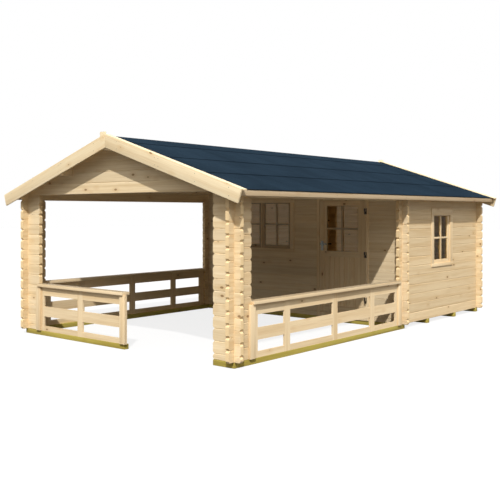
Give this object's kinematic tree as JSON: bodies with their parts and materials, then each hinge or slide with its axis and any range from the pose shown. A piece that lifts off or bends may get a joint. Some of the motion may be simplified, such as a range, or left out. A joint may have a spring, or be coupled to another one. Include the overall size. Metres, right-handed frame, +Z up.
{
  "type": "garden house",
  "caption": "Log garden house with a gable roof: an open railed terrace in front of a closed cabin with a glazed door and windows.",
  "frame": {"origin": "on the ground, in the middle of the roof's plan", "axes": "+X to the right seen from the terrace front, +Y from the front gable to the back, +Z up"},
  "size_m": [4.48, 6.78, 2.7219],
  "materials": {
    "logs": "planed pine logs, matt",
    "boards": "planed pine boards, matt",
    "treated_timber": "olive pressure treated, matt",
    "roofing": "bitumen roofing, blue-grey",
    "glass": "clear",
    "steel": "satin",
    "dark_metal": "dark"
  },
  "bodies": {
    "house": {"front_bearers": "treated_timber", "side_bearers": "treated_timber", "cabin_joists": "treated_timber", "cabin_floor": "boards", "left_pier_front": "logs", "left_pier_side": "logs", "right_pier_front": "logs", "right_pier_side": "logs", "front_gable": "logs", "left_plate": "logs", "right_plate": "logs", "cabin_front_left": "logs", "cabin_front_right": "logs", "cabin_front_gable": "logs", "cabin_left_wall": "logs", "cabin_right_wall": "logs", "back_wall": "logs", "ridge_purlin": "boards", "side_purlins": "boards", "roof_deck_left": "boards", "roof_deck_right": "boards", "roofing_left": "roofing", "roofing_right": "roofing", "barge_front_left": "boards", "barge_front_right": "boards", "barge_back_left": "boards", "barge_back_right": "boards", "verge_covers": "boards", "eaves_boards": "boards", "front_railing": "boards", "left_railing": "boards", "right_railing": "boards", "handrails": "boards", "free_post": "boards", "railing_battens": "boards", "front_window_frame": "boards", "front_window_sashes": "boards", "side_window_frame": "boards", "side_window_sash": "boards", "window_glass": "glass", "door_frame": "boards", "hinge_plates": "dark_metal"},
    "door": {"door_leaf": "boards", "door_glass": "glass", "door_handles": "steel", "door_hinges": "dark_metal"}
  },
  "joints": [
    {"name": "door_hinge", "type": "hinge", "parent": "house", "child": "door", "pos_m": [1.36, 0.51, 0.95], "axis": [0, 0, 1], "range_deg": [0, 100]}
  ]
}
